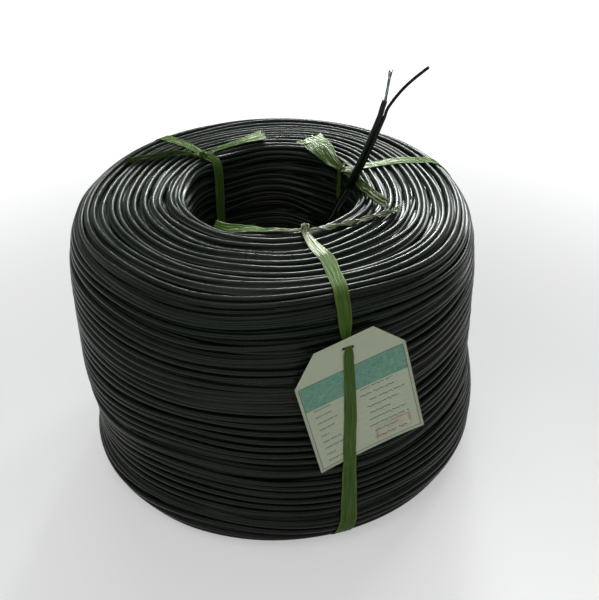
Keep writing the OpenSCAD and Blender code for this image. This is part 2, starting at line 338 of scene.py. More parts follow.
# ---- geometry trees
def cable_profile(graph, core_sides, messenger_sides):
    """The figure-8 section as a closed curve: x points out of its flat side, y to the messenger."""
    circle = graph.geometry("CurvePrimitiveCircle", {"Resolution": core_sides + messenger_sides})
    index = graph.geometry("InputIndex")
    on_core = graph.math("LESS_THAN", index, core_sides - 0.5)

    def wire_round(radius, sides, first, facing, middle):
        gap = math.asin(WEB_T / 2 / radius)
        angle = (index - first) * ((2 * math.pi - 2 * gap) / (sides - 1)) + (facing + gap)
        return (graph.math("SINE", angle) * radius, graph.math("COSINE", angle) * radius + middle)

    core = wire_round(CORE_R, core_sides, 0.0, 0.0, CORE_MID)
    messenger = wire_round(MESSENGER_R, messenger_sides, float(core_sides), math.pi, MESSENGER_MID)
    place = [core[k] * on_core + messenger[k] * (1.0 - on_core) for k in (0, 1)]
    return graph.move(circle, graph.combine(*place))


def build_turns(core_sides, messenger_sides):
    """A whole tree of wound turns, with the figure-8 section swept along each."""
    graph, given, result = new_tree(
        f"wound_turns_{core_sides}", "GeometryNodeTree",
        {"Section": "geometry", "First turn": 0.0, "Turns": 10, "Segments": 144, "Pitch": TURN_PITCH,
         "Depth": 0.0, "Wander": 0.6, "Lumps": 0.0015, "Seed": 0.0, "Finish": "material"},
        {"Turns": "geometry"})
    section_curve = graph.geometry("MeshToCurve", {"Mesh": given["Section"]})
    total = graph.geometry("CurveLength", {"Curve": section_curve})
    circle = graph.geometry("CurvePrimitiveCircle", {"Resolution": given["Segments"]})
    copies = graph.node("GeometryNodeDuplicateElements",
                        {"Geometry": circle, "Amount": given["Turns"]}, domain="SPLINE")
    turns = Wire(graph, copies.outputs["Geometry"])
    spline_turn = Wire(graph, copies.outputs["Duplicate Index"]) + given["First turn"]
    start = graph.geometry("InputPosition")
    turns = graph.store(turns, "turn", spline_turn)
    turns = graph.store(turns, "way", start, "FLOAT_VECTOR")
    turn = graph.read("turn")
    east, north, _ = graph.separate(graph.read("way", "FLOAT_VECTOR"))

    def lay_noise(around_scale, turn_scale, offset):
        """Noise that closes on itself round the coil."""
        return graph.noise(graph.combine(east * around_scale, north * around_scale,
                                         turn * turn_scale + (given["Seed"] + offset)))

    # Where the turn lies along the outline: in step with its neighbours, and a little on its own
    lot = graph.lot(turn * 1.37 + given["Seed"])
    stray = graph.math("GREATER_THAN", lot, 0.9)
    own_way = lay_noise(0.8, 7.31, 3.0) * given["Wander"] * (1.0 + stray * 2.5)
    place = (turn + 0.5 + lay_noise(1.1, 0.11, 50.0) * 1.2 + own_way) * given["Pitch"]
    place = graph.math("FLOORED_MODULO", place, total)
    spot = graph.node("GeometryNodeSampleCurve", {"Curves": section_curve, "Length": place},
                      mode="LENGTH", data_type="FLOAT")
    r, _, z = graph.separate(Wire(graph, Graph.named(spot.outputs, "Position")))
    along_r, _, along_z = graph.separate(Wire(graph, Graph.named(spot.outputs, "Tangent")))

    # How deep it lies, and how far it has rolled over
    lump = graph.noise(graph.combine(east * 1.5, north * 1.5, z * 14.0 + r * 9.0)) * given["Lumps"]
    sunk = lay_noise(1.2, 5.7, 90.0) * 0.0009 - stray * 0.0006 + given["Depth"] + CORE_R
    # Most turns lie with the messenger tucked in below the core, and some lie the other way round
    tuck = lay_noise(1.3, 4.3, 130.0) * 0.7 - TUCK
    lot_2 = graph.lot(turn * 2.71 + given["Seed"])
    turned = graph.math("GREATER_THAN", lot_2, 0.82)
    roll = turned * (math.pi - 2.0 * tuck) + tuck
    cos_roll = graph.math("COSINE", roll)
    sin_roll = graph.math("SINE", roll)
    inward = graph.math("MAXIMUM", sunk - lump, CORE_R) + sin_roll * CORE_MID
    centre_r = r - along_z * inward
    centre_z = z + along_r * inward
    out_r = along_z * cos_roll + along_r * sin_roll
    out_z = along_z * sin_roll - along_r * cos_roll
    facing = graph.combine(east * out_r, north * out_r, out_z)
    turns = graph.store(turns, "facing", facing, "FLOAT_VECTOR")
    turns = graph.store(turns, "along", graph.math("ARCTAN2", north, east) * centre_r)
    slip = 0.0
    for begin, full, most in SLIPS:
        slip = graph.ramp(centre_z, begin, full, 0.0, most) + slip
    turns = graph.move(turns, graph.combine(east * centre_r + slip, north * centre_r, centre_z))
    profile = cable_profile(graph, core_sides, messenger_sides)
    return finish_mesh(graph, given, result, graph.sweep(graph.face(turns), profile))


def finish_mesh(graph, given, result, mesh):
    """Ends a tree: nothing below the floor, smooth shading, real instances and the finish."""
    x, y, z = graph.separate(graph.geometry("InputPosition"))
    mesh = graph.move(mesh, graph.combine(x, y, graph.math("MAXIMUM", z, 0.0)))
    mesh = graph.geometry("SetShadeSmooth", {"Geometry": mesh})
    mesh = graph.geometry("RealizeInstances", {"Geometry": mesh})
    mesh = graph.geometry("SetMaterial", {"Geometry": mesh, "Material": given["Finish"]})
    graph.tree.links.new(mesh.socket, result.inputs[0])
    return graph.tree


def cable_tree():
    """One length of the figure-8 cable, whose flat side looks the way of its path's facing."""
    graph, given, result = new_tree(
        "flat_cable", "GeometryNodeTree", {"Path": "geometry", "Step": 0.0015, "Finish": "material"},
        {"Cable": "geometry"})
    path = smooth_path(graph, given["Path"], given["Step"])
    swept = graph.sweep(path, cable_profile(graph, 15, 9), **{"Fill Caps": True})
    return finish_mesh(graph, given, result, swept)


def round_wire_tree():
    """A round wire along a path, with a torn ridge down one side where its web was."""
    graph, given, result = new_tree(
        "round_wire", "GeometryNodeTree",
        {"Path": "geometry", "Step": 0.0012, "Radius": 0.001, "Sides": 14, "Ridge": 0.0, "Side": 1.0,
         "Finish": "material"},
        {"Wire": "geometry"})
    path = smooth_path(graph, given["Path"], given["Step"])
    path = graph.store(path, "along", graph.geometry("SplineParameter", output="Length"))
    ring = graph.geometry("CurvePrimitiveCircle",
                          {"Resolution": given["Sides"], "Radius": given["Radius"]})
    _, y, _ = graph.separate(graph.geometry("InputPosition"))
    ring = graph.store(ring, "ridge", graph.ramp(y * given["Side"] / given["Radius"], 0.93, 1.0))
    swept = graph.sweep(path, ring, **{"Fill Caps": True})
    torn = graph.noise(graph.combine(graph.read("along") * 400.0)) * 0.5 + 0.6
    proud = graph.scaled(graph.geometry("InputNormal"), graph.read("ridge") * given["Ridge"] * torn)
    return finish_mesh(graph, given, result, graph.move(swept, proud, "Offset"))


def smooth_path(graph, path, step):
    """A chain of edges as a smooth curve, whose normals are the chain's facing."""
    path = graph.geometry("MeshToCurve", {"Mesh": path})
    path = graph.geometry("CurveSplineType", {"Curve": path}, spline_type="CATMULL_ROM")
    path = graph.geometry("ResampleCurve", {"Curve": path, "Length": step}, mode="LENGTH")
    tangent = graph.geometry("InputTangent")
    facing = graph.read("facing", "FLOAT_VECTOR")
    lean = graph.vector("DOT_PRODUCT", facing, tangent, "Value")
    facing = graph.vector("NORMALIZE", graph.vector("SUBTRACT", facing, graph.scaled(tangent, lean)))
    return graph.face(graph.store(path, "facing", facing, "FLOAT_VECTOR"))


def film_tree():
    """A strip of film along a path: pleated where it is narrow, and split at frayed ends."""
    graph, given, result = new_tree(
        "film_strip", "GeometryNodeTree",
        {"Path": "geometry", "Step": 0.0012, "Across": 25, "Pleats": 4.0, "Crease": 0.0007, "Seed": 0.0,
         "Finish": "material"},
        {"Film": "geometry"})
    path = smooth_path(graph, given["Path"], given["Step"])
    path = graph.store(path, "along", graph.geometry("SplineParameter", output="Length"))
    line = graph.geometry("CurvePrimitiveLine", {"Start": (0, -0.5, 0), "End": (0, 0.5, 0)})
    line = graph.geometry("ResampleCurve", {"Curve": line, "Count": given["Across"]}, mode="COUNT")
    _, y, _ = graph.separate(graph.geometry("InputPosition"))
    line = graph.store(line, "across", y * 2.0)
    film = graph.sweep(path, line, Scale=graph.read("width"))
    wider = graph.math("MAXIMUM", graph.read("width") / FILM_W, 1.0)
    film = graph.store(film, "thread", graph.read("across") * wider)
    across = graph.read("across")
    along = graph.read("along")
    gathered = graph.ramp(graph.read("width"), 0.4 * FILM_W, 1.6 * FILM_W, 1.0, 0.25)
    drift = graph.noise(graph.combine(along * 55.0, across * 0.6, given["Seed"])) * 0.8
    pleats = across * given["Pleats"] * 0.5 + drift + given["Seed"]
    fold = graph.math("PINGPONG", pleats, 0.5) * 4.0 - 1.0
    crumple = graph.noise(graph.combine(along * 260.0, across * 3.0, given["Seed"] + 9.0), detail=2.0)
    height = (fold + crumple * 0.9) * given["Crease"] * gathered
    film = graph.move(film, graph.scaled(graph.read("facing", "FLOAT_VECTOR"), height), "Offset")
    torn = graph.noise(graph.combine(across * 7.0, 0.0, given["Seed"] + 4.0), detail=2.0) * 0.5 + 0.6
    gone = graph.math("GREATER_THAN", graph.read("fray"), torn)
    film = graph.geometry("DeleteGeometry", {"Geometry": film, "Selection": gone}, domain="FACE")
    return finish_mesh(graph, given, result, film)


# ---- finishes
def shader_group(name, inputs, output, build):
    """A node group for materials: build works out its one output from its inputs."""
    graph, given, result = new_tree(name, "ShaderNodeTree", inputs, {output: float})
    graph.tree.links.new(build(graph, given).socket, result.inputs[0])
    return graph.tree


def dust_mask(graph, given):
    """Dust lies in clouds, most on what faces up."""
    place = graph.wire("ShaderNodeTexCoord", output="Object")
    clouds = graph.noise(place, given["Scale"], detail=4.0, roughness=0.62) * 0.9 + 0.35
    _, _, up = graph.separate(graph.wire("ShaderNodeNewGeometry", output="Normal"))
    lying = graph.ramp(up, -0.2, 0.9, 0.25, 1.0)
    return graph.math("MINIMUM", graph.math("MAXIMUM", clouds * lying * given["Amount"], 0.0), 1.0)


def lengthwise_mask(graph, given):
    """Fine streaks that run the long way of a strip or wire, from 0 to 1."""
    spot = graph.combine(given["Across"] * given["Density"], given["Along"] * given["Stretch"],
                         given["Seed"])
    return graph.noise(spot, 1.0, detail=3.0, roughness=0.6) * 0.9 + 0.5


def fine_bump(graph, given):
    """A fine uneven surface, as a height."""
    place = graph.wire("ShaderNodeTexCoord", output="Object")
    return graph.noise(place, given["Scale"], detail=3.0, roughness=0.6) * given["Depth"]


def new_material(name):
    """A material with its graph and its Principled shader."""
    material = bpy.data.materials.new(name)
    material.use_nodes = True
    graph = Graph(material.node_tree)
    return material, graph, material.node_tree.nodes["Principled BSDF"]


def attribute(graph, name):
    return graph.wire("ShaderNodeAttribute", output="Fac", attribute_name=name)


def feed(graph, node, **values):
    """Sets or wires up a node's inputs by name."""
    for key, value in values.items():
        socket = node.inputs[key.replace("_", " ")]
        if isinstance(value, Wire):
            graph.tree.links.new(value.socket, socket)
        else:
            socket.default_value = value


def place_group(graph, group, **values):
    made = graph.node("ShaderNodeGroup", node_tree=group)
    feed(graph, made, **values)
    return Wire(graph, made.outputs[0])


def mix(graph, factor, a, b):
    """A colour between two colours."""
    made = graph.node("ShaderNodeMix", data_type="RGBA")
    for socket, value in ((0, factor), (6, a), (7, b)):
        if isinstance(value, Wire):
            graph.tree.links.new(value.socket, made.inputs[socket])
        else:
            made.inputs[socket].default_value = value if socket == 0 else (*value, 1.0)[:4]
    return Wire(graph, made.outputs[2])


def bump(graph, height):
    return graph.wire("ShaderNodeBump", {"Height": height, "Distance": 1.0, "Strength": 1.0})


def jacket_finish():
    """Black polyethylene: each turn a little its own black, with dust, scuffs and a drawn surface."""
    material, graph, shader = new_material("black_jacket")
    turn = attribute(graph, "turn")
    lot = graph.lot(turn * 3.17)
    lot_2 = graph.lot(turn * 5.91 + 40.0)
    dust = place_group(graph, DUST, Scale=38.0, Amount=0.5)
    drawn = place_group(graph, STREAKS, Across=turn, Along=attribute(graph, "along"), Density=3.1,
                        Stretch=45.0, Seed=2.0)
    black = mix(graph, lot, (0.006, 0.0095, 0.004), (0.0032, 0.011, 0.0048))
    black = mix(graph, lot_2 * 0.5, black, (0.0085, 0.0115, 0.0085))
    colour = mix(graph, dust * 0.35, black, (0.075, 0.078, 0.062))
    rough = drawn * 0.05 + dust * 0.1 + lot_2 * 0.07 + 0.225
    height = place_group(graph, UNEVEN, Scale=300.0, Depth=0.00001)
    feed(graph, shader, Base_Color=colour, Roughness=rough, Normal=bump(graph, height), IOR=1.51,
         Specular_IOR_Level=0.16)
    return material


def film_finish():
    """Green split film: even where it lies flat, with white threads where it is pulled and creased, and
    paler where its pale attribute is high, which is partly its own whitening near the knots and partly
    painted sheen where it lies on the lit end face.
    """
    material, graph, shader = new_material("green_film")
    across, along = attribute(graph, "across"), attribute(graph, "along")
    pale, thread = attribute(graph, "pale"), attribute(graph, "thread")
    wide = place_group(graph, STREAKS, Across=thread, Along=along, Density=5.0, Stretch=28.0, Seed=1.0)
    fine = place_group(graph, STREAKS, Across=thread, Along=along, Density=13.0, Stretch=70.0, Seed=7.0)
    hem = graph.ramp(graph.math("ABSOLUTE", across), 0.72, 1.0)
    green = mix(graph, graph.ramp(wide, 0.3, 0.7), (0.038, 0.085, 0.01), (0.078, 0.155, 0.022))
    green = mix(graph, hem * 0.35 + fine * 0.15, green, (0.19, 0.25, 0.09))
    # The pale attribute lifts the white threads: near the knots this is the film's own whitening, and
    # where the film lies on the lit end face it is painted sheen.
    threads = graph.ramp(wide * 0.62 + fine * 0.38 + pale * 0.7, 0.93, 1.12)
    whitened_and_lit = mix(graph, graph.ramp(fine, 0.3, 0.75), (0.43, 0.5, 0.26), (0.93, 0.95, 0.82))
    colour = mix(graph, threads, green, whitened_and_lit)
    rough = graph.ramp(fine, 0.0, 1.0, 0.46, 0.62) - pale * 0.2
    clear = attribute(graph, "clear")
    alpha = 1.0 - clear * graph.ramp(fine, 0.2, 0.9, 1.0, 0.55)
    feed(graph, shader, Base_Color=colour, Roughness=rough, Alpha=alpha,
         Normal=bump(graph, fine * 0.0002 + wide * 0.0004), IOR=1.49, Specular_IOR_Level=0.12)
    return material


def plain_finish(name, colour, roughness, metallic=0.0):
    """A small piece's finish: one colour with fine unevenness and a little dirt."""
    material, graph, shader = new_material(name)
    dirt = place_group(graph, DUST, Scale=260.0, Amount=0.5)
    shade = mix(graph, dirt * 0.5, colour, tuple(0.45 * c for c in colour))
    height = place_group(graph, UNEVEN, Scale=900.0, Depth=0.00002)
    feed(graph, shader, Base_Color=shade, Roughness=dirt * 0.2 + roughness, Normal=bump(graph, height),
         Metallic=metallic)
    return material


def card_finish():
    """Pale green-white card with a plain teal band, a ruled form and a faded red stamp, all wordless."""
    material, graph, shader = new_material("printed_card")
    u, v, _ = graph.separate(graph.wire("ShaderNodeUVMap", uv_map="card"))
    u = (u - 0.5) * (LABEL_W / MM)
    v = (v - 0.5) * (LABEL_H / MM)
    place = graph.wire("ShaderNodeTexCoord", output="Object")

    def between(value, low, high, soft=0.25):
        """1 where value lies between two places in mm, with a soft edge."""
        return graph.ramp(value, low - soft, low + soft) * graph.ramp(value, high + soft, high - soft)

    def box(u0, v0, u1, v1, soft=0.25):
        return between(u, u0, u1, soft) * between(v, v0, v1, soft)

    def ink(base, mask, strength, colour):
        return mix(graph, mask * strength, base, colour)

    fibres = graph.noise(place, 900.0, detail=4.0, roughness=0.7)
    blotch = graph.noise(place, 26.0, detail=4.0, roughness=0.6)
    print_wear = graph.noise(place, 330.0, detail=3.0, roughness=0.7) * 0.5 + 0.85
    # The card's base colours are darker than a pale card's would be: painted shade, for the shade the
    # card hangs in on the coil's front.
    card = mix(graph, blotch * 0.6 + 0.5, (0.56, 0.65, 0.48), (0.65, 0.69, 0.51))
    colour = ink(card, box(-44.4, 7, 44.4, 32.2), print_wear * 0.92, (0.085, 0.34, 0.25))
    frame_line = box(-44.8, -57.3, 44.8, 32.6) - box(-44.1, -56.6, 44.1, 31.9)
    colour = ink(colour, graph.math("MAXIMUM", frame_line, 0.0), 0.75, (0.05, 0.09, 0.085))
    # Ruled rows: a short grey bar at the left of each, and a dark stroke at the right of most
    row = graph.math("FLOOR", (v + 54.0) / 7.0)
    in_row = graph.math("FLOORED_MODULO", v + 54.0, 7.0)
    lot = graph.lot(row)
    lot_2 = graph.lot(row + 31.0)
    form = box(-41, -54, 41, 5.5, 0.2)
    rule = between(in_row, 0.2, 0.55, 0.15) * form
    colour = ink(colour, rule, 0.4, (0.22, 0.33, 0.28))
    bar = between(in_row, 2.0, 3.7, 0.3) * form * between(u, -38.0, -31.0 + lot * 12.0, 0.4)
    broken = graph.ramp(graph.noise(graph.combine(u * 0.9, row * 7.0)), -0.35, -0.1)
    colour = ink(colour, bar * broken, 0.6, (0.1, 0.15, 0.13))
    sway = graph.noise(graph.combine(u * 0.62, row * 3.0), detail=1.0) * 3.4
    stroke = between(in_row + sway, 2.5, 3.5, 0.35) * form
    stroke = stroke * between(u, 0.0 + lot_2 * 9.0, 24.0 + lot * 16.0, 0.6)
    gaps = graph.ramp(graph.noise(graph.combine(u * 0.3, row * 11.0 + 5.0)), -0.35, -0.15)
    colour = ink(colour, stroke * gaps, 0.85, (0.05, 0.075, 0.085))
    stamped = box(6, -53, 38, -39, 0.6) - box(8.2, -50.8, 35.8, -41.2, 0.6) * 0.72
    stamp_wear = graph.ramp(graph.noise(place, 160.0, detail=3.0), -0.25, 0.35)
    colour = ink(colour, graph.math("MAXIMUM", stamped, 0.0) * stamp_wear, 0.6, (0.55, 0.13, 0.08))
    grime = graph.ramp(blotch + fibres * 0.3, 0.15, 0.8) * 0.35
    near_edge = 1.0 - box(-44, -57, 44, 57, 3.0)
    colour = ink(colour, grime + near_edge * 0.25, 0.6, (0.33, 0.36, 0.27))
    feed(graph, shader, Base_Color=colour, Roughness=fibres * 0.1 + 0.72,
         Normal=bump(graph, fibres * 0.00006 + blotch * 0.0002), Specular_IOR_Level=0.3)
    return material


# ---- pieces
def make_coil(finish):
    """The wound turns that show, in four stretches, and the sunken turns that fill their gaps."""
    outline = section()
    steps = [math.dist(a, b) for a, b in zip(outline[:-1], outline[1:])]
    count = round(sum(steps) / TURN_PITCH)
    pitch = sum(steps) / count
    path = path_mesh("section", [(r, 0, z) for r, z in outline])
    # The bore begins in the middle of the rim
    foot_end = 2 * ARC_STEPS + 1
    rim_start = foot_end + SHOULDER_STEPS + 2
    turns_at = np.cumsum([0.0] + [step / pitch for step in steps])
    corners = (foot_end, foot_end + SIDE_STEPS, rim_start + ARC_STEPS // 2)
    starts = [0, *(round(turns_at[corner]) for corner in corners), count]
    tree = build_turns(9, 5)
    skins = []
    for k, name in enumerate(("base", "side", "end_face", "bore")):
        skins.append(grow("turns_" + name, path, tree, **{
            "First turn": float(starts[k]), "Turns": starts[k + 1] - starts[k], "Pitch": pitch,
            "Finish": finish, "Segments": 160 if name != "base" else 120}))
    sunken = grow("turns_sunken", path, build_turns(5, 3), **{
        "First turn": 0.5, "Turns": count, "Pitch": pitch, "Finish": finish, "Segments": 96,
        "Depth": SUNKEN_DEPTH, "Seed": 20.0, "Wander": 0.5})
    heart = lathe("heart", section(-HEART_DEPTH), 96)
    heart.data.materials.append(finish)
    skins.append(join("turns_sunken", [sunken, heart]))
    return [ride(skin, "cable_jacket", "cable_coil") for skin in skins]


def lathe(name, profile, steps):
    """A closed ring turned from a closed (r, z) profile, on the slipped coil."""
    profile = profile[:-1]
    n = len(profile)
    points, faces = [], []
    for k in range(steps):
        points += [around(2 * math.pi * k / steps, r, max(z, HEART_Z)) for r, z in profile]
        here, ahead = k * n, (k + 1) % steps * n
        faces += [(here + i, ahead + i, ahead + (i + 1) % n, here + (i + 1) % n) for i in range(n)]
    mesh = bpy.data.meshes.new(name)
    mesh.from_pydata(points, [], faces)
    mesh.update()
    return new_object(name, mesh)


def join(name, pieces):
    """Joins pieces into the first of them."""
    bpy.ops.object.select_all(action="DESELECT")
    for piece in pieces:
        piece.select_set(True)
    bpy.context.view_layer.objects.active = pieces[0]
    bpy.ops.object.join()
    pieces[0].name = name
    pieces[0].data.name = name
    return pieces[0]


def thicken(piece, thickness, offset=0.0):
    """Gives an open sheet its thickness."""
    modifier = piece.modifiers.new("thickness", "SOLIDIFY")
    modifier.thickness = thickness
    modifier.offset = offset
    modifier.use_quality_normals = True
    evaluated = piece.evaluated_get(bpy.context.evaluated_depsgraph_get())
    solid = bpy.data.meshes.new_from_object(evaluated)
    piece.modifiers.clear()
    piece.data = solid
    return piece


def ride(piece, slot, *nodes):
    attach(piece, "root")
    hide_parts(*nodes)
    return piece


# ---- the free end of the cable
# Its points as (distance in from the bore's wall in mm, angle from +X, height over the inner rim in mm,
# turn of the flat side from upright)
TAIL = [(4.8, 46, -62, 0), (5.5, 35, -52, 50), (6.5, 26, -37, 95), (6, 17, -22, 110), (4.5, 8, -8, 100),
        (-2.5, 6, 10, 90), (-9.5, 5.5, 27, 90), (-17, 5, 47, 90), (-21.5, 5, 59, 90)]
# Past the split: offsets from it in mm, across and up
CORE_LEG = [(0, 7), (2, 13.5)]
MESSENGER_LEG = [(4.5, 6), (9.5, 14), (16.5, 23), (25, 31.5), (37, 41.5)]
CONDUCTOR_LINE = [(2.3, 13), (3.3, 20), (4.6, 29), (6, 40)]
CONDUCTOR_GAP = 0.78 * MM
CONDUCTOR_R = 0.52 * MM


def tail_point(inward, angle, rise):
    r = BORE_R - inward * MM
    angle = math.radians(angle)
    return Vector((r * math.cos(angle), r * math.sin(angle), COIL_H + rise * MM))


def past_split(points):
    split = tail_point(*TAIL[-1][:3])
    return [split + Vector((x * MM, 0, z * MM)) for x, z in points]


def path_length(points):
    return sum((b - a).length for a, b in zip(points[:-1], points[1:]))


def flat_facings(points, turns):
    """The flat side's facing at each point, from how far it turns from upright."""
    facings = []
    for k, turn in enumerate(turns):
        tangent = step_at(points, k).normalized()
        to_messenger = Vector((math.sin(math.radians(turn)), 0, math.cos(math.radians(turn))))
        facings.append(tuple(to_messenger.cross(tangent).normalized()))
    return facings


def front_path(name, points):
    """A path that faces the front."""
    return path_mesh(name, points, facing=[(0.0, -1.0, 0.0)] * len(points))


def make_cable_end(finish):
    """The free end: the flat cable leaves the bore's wall and stands up, and its two wires part."""
    joined = [tail_point(*p[:3]) for p in TAIL]
    points = [tail_point(0.5, 61, -67)] + joined
    turns = [0] + [p[3] for p in TAIL]
    flat = grow("cable_end", path_mesh("tail", points, facing=flat_facings(points, turns)),
                cable_tree(), Finish=finish)
    wire = round_wire_tree()
    core_leg = past_split(CORE_LEG)
    # Both legs start inside the flat cable, in line with their own halves of it
    ahead = (joined[-1] - joined[-2]).normalized()
    across = (Vector((1, 0, 0)) - ahead * ahead.x).normalized()
    inside = joined[-1] - ahead * 4 * MM
    core_points = [inside + across * CORE_MID, joined[-1] + across * CORE_MID] + core_leg
    core = grow("core_leg", front_path("core", core_points), wire, Finish=finish, Radius=CORE_R,
                Ridge=0.35 * MM, Sides=20, Side=1.0)
    end = join("cable_end", [flat, core])
    end_path = points + core_leg
    ride(end, "cable_jacket", "cable_end")
    path_length(end_path)
    make_conductors()

    leg = past_split(MESSENGER_LEG)
    start = inside + across * MESSENGER_MID
    leg_points = [start, joined[-1] + across * MESSENGER_MID] + leg
    messenger = grow("messenger_leg", front_path("leg", leg_points), wire, Finish=finish,
                     Radius=MESSENGER_R, Ridge=0.3 * MM, Sides=14, Side=-1.0)
    steel = end_disc("steel_end", leg_points, 0.62 * MESSENGER_R, STEEL)
    ride(messenger, "cable_jacket")
    ride(steel, "conductor")
    path_length(leg_points)


def end_disc(name, points, radius, finish):
    """The cut end of a wire, which stands a little proud of its jacket at the end of its path."""
    bpy.ops.mesh.primitive_cylinder_add(vertices=16, radius=radius, depth=1.6 * MM)
    disc = bpy.context.object
    disc.name = name
    turn = (points[-1] - points[-2]).to_track_quat("Z", "Y").to_matrix().to_4x4()
    disc.data.transform(Matrix.Translation(points[-1]) @ turn)
    disc.matrix_world = Matrix.Identity(4)
    disc.data.materials.append(finish)
    return disc


def make_conductors():
    """Four insulated copper conductors that stand out of the stripped core."""
    line = past_split(CONDUCTOR_LINE)
    wire = bpy.data.node_groups.get("round_wire")
    pieces = []
    for k, finish in enumerate(INSULATION):
        points = []
        for t in np.linspace(0, len(line) - 1 - 0.12 * (k % 2), 12).tolist():
            i = min(int(t), len(line) - 2)
            angle = math.radians(90 * k + 45 + 110 * t)
            reach = CONDUCTOR_GAP * (1 + 0.9 * max(t - 2.2, 0))
            middle = line[i].lerp(line[i + 1], t - i)
            points.append(middle + reach * Vector((math.cos(angle), math.sin(angle), 0)))
        points = [past_split(CORE_LEG)[0] + 0.7 * (points[0] - line[0])] + points
        name = f"conductor_{k + 1}"
        pieces.append(grow(name, front_path(name, points), wire, Finish=finish, Radius=CONDUCTOR_R,
                           Sides=10))
        pieces.append(end_disc(name + "_copper", points, CONDUCTOR_R / 2, COPPER))
    return ride(join("conductors", pieces), "conductor", "conductors")


# ---- the card
def card_point(x, z, out=0.0):
    """The point on the card's plane at x across and z up from its middle, in the upright frame."""
    c, s = math.cos(LABEL_ANGLE), math.sin(LABEL_ANGLE)
    away = COIL_R + 0.9 * MM + out
    return Vector((x * c + away * s, x * s - away * c, LABEL_Z + z))


SLIT_X = -(COIL_R + LABEL_SEAT) * math.tan(LABEL_ANGLE - FRONT_TIE)
SLIT_Z = (LABEL_H / 2 - SLIT_DOWN) / math.cos(LABEL_TILT) + SLIT_X * math.tan(LABEL_TILT)


def cut(card, place, way, clear=False):
    """Cuts a sheet through a place and across a way, and drops what lies past the cut if clear."""
    everything = card.verts[:] + card.edges[:] + card.faces[:]
    bmesh.ops.bisect_plane(card, geom=everything, plane_co=(*place, 0), plane_no=(*way, 0),
                           clear_outer=clear)


def make_card(finish):
    """A card with two clipped corners and a slit, slightly curled."""
    card = bmesh.new()
    bmesh.ops.create_grid(card, x_segments=32, y_segments=40, size=0.5)
    bmesh.ops.transform(card, matrix=Matrix.Diagonal((LABEL_W, LABEL_H, 1, 1)), verts=card.verts)
    for side in (-1, 1):
        cut(card, (side * (LABEL_W / 2 - CLIP_W), LABEL_H / 2), (side * CLIP_H, CLIP_W), clear=True)
    tilt = Matrix.Rotation(LABEL_TILT, 4, "Z")
    slit = (tilt.inverted() @ Vector((SLIT_X, SLIT_Z, 0))).to_2d()
    up = (tilt.inverted() @ Vector((0, 1, 0))).to_2d()
    right = (tilt.inverted() @ Vector((1, 0, 0))).to_2d()
    for way, half in ((up, SLIT_H / 2), (right, SLIT_W / 2)):
        for side in (-1, 1):
            cut(card, slit + side * half * way, way)

    def in_slit(face):
        off = face.calc_center_median().to_2d() - slit
        return abs(off.dot(up)) < SLIT_H / 2 and abs(off.dot(right)) < SLIT_W / 2

    bmesh.ops.delete(card, geom=[f for f in card.faces if in_slit(f)], context="FACES")
    bmesh.ops.remove_doubles(card, verts=card.verts, dist=0.01 * MM)
    uv = card.loops.layers.uv.new("card")
    for face in card.faces:
        face.smooth = True
        for loop in face.loops:
            loop[uv].uv = (loop.vert.co.x / LABEL_W + 0.5, loop.vert.co.y / LABEL_H + 0.5)
    for vert in card.verts:
        u, v = vert.co.x / (LABEL_W / 2), vert.co.y / (LABEL_H / 2)
        curl = 1.6 * MM * max(u, 0) ** 3 + 1.3 * MM * max(-u, 0) ** 3 * (0.4 - 0.6 * v)
        curl += 1.4 * MM * max(-v, 0) ** 3 * (0.5 + 0.5 * u) + 0.35 * MM * math.sin(2.1 * v + 1.7 * u)
        flat = tilt @ vert.co
        vert.co = card_point(flat.x, flat.y, max(curl, -0.3 * MM))
    mesh = bpy.data.meshes.new("label_tag")
    card.to_mesh(mesh)
    card.free()
    mesh.materials.append(finish)
    return ride(thicken(new_object("label_tag", mesh), LABEL_T, 1.0), "card", "label_tag")


# ---- the ties
def surface_tree(pieces):
    """The pieces' surfaces, for finding where a film lies on them."""
    points, faces = [], []
    for piece in pieces:
        first = len(points)
        points += [v.co.copy() for v in piece.data.vertices]
        faces += [[first + i for i in p.vertices] for p in piece.data.polygons]
    return BVHTree.FromPolygons(points, faces)


def smoothed(values, reach):
    """A moving mean with a soft window."""
    window = np.hanning(2 * reach + 3)[1:-1]
    padded = np.pad(values, reach, mode="edge")
    return np.convolve(padded, window / window.sum(), mode="valid")


def raised(values, reach):
    """The highest value within reach of each place."""
    padded = np.pad(values, reach, mode="edge")
    return np.array([padded[i:i + 2 * reach + 1].max() for i in range(len(values))])


def seat(places, ways, widths, surface, reach=2):
    """How far out of its place each point of a strip lies, so that the strip rests on the surface."""
    heights = []
    for k, (place, way) in enumerate(zip(places, ways)):
        side = way.cross(step_at(places, k)).normalized() * widths[k] / 2
        found = []
        for share in (-0.8, -0.4, 0, 0.4, 0.8):
            start = place + side * share + way * PROBE_FROM
            hit = surface.ray_cast(start, -way, PROBE_REACH)
            if hit[0] is not None:
                found.append(PROBE_FROM - hit[3])
        heights.append(max(found) if found else NO_SEAT)
    return smoothed(raised(np.array(heights), reach), reach)


def along_stations(stations, step):
    """Stations (s, values…) read off every step of s. Gives the s values and a row for each value."""
    table = np.array(stations, float)
    count = max(int(round((table[-1, 0] - table[0, 0]) / step)), 2)
    at = np.linspace(table[0, 0], table[-1, 0], count + 1)
    return at, [np.interp(at, table[:, 0], table[:, c]) for c in range(1, table.shape[1])]


def film_strip(name, points, facings, widths, pale, fray=0.0, clear=0.0, **settings):
    """One strip of film. pale, fray and clear are numbers or lists."""
    count = len(points)

    def row(value):
        return value if hasattr(value, "__len__") else [value] * count

    mesh = path_mesh(name, points, facing=[tuple(f) for f in facings], width=widths, pale=row(pale),
                     fray=row(fray), clear=row(clear))
    return thicken(grow(name, mesh, FILM_TREE, Finish=film, **settings), FILM_T)


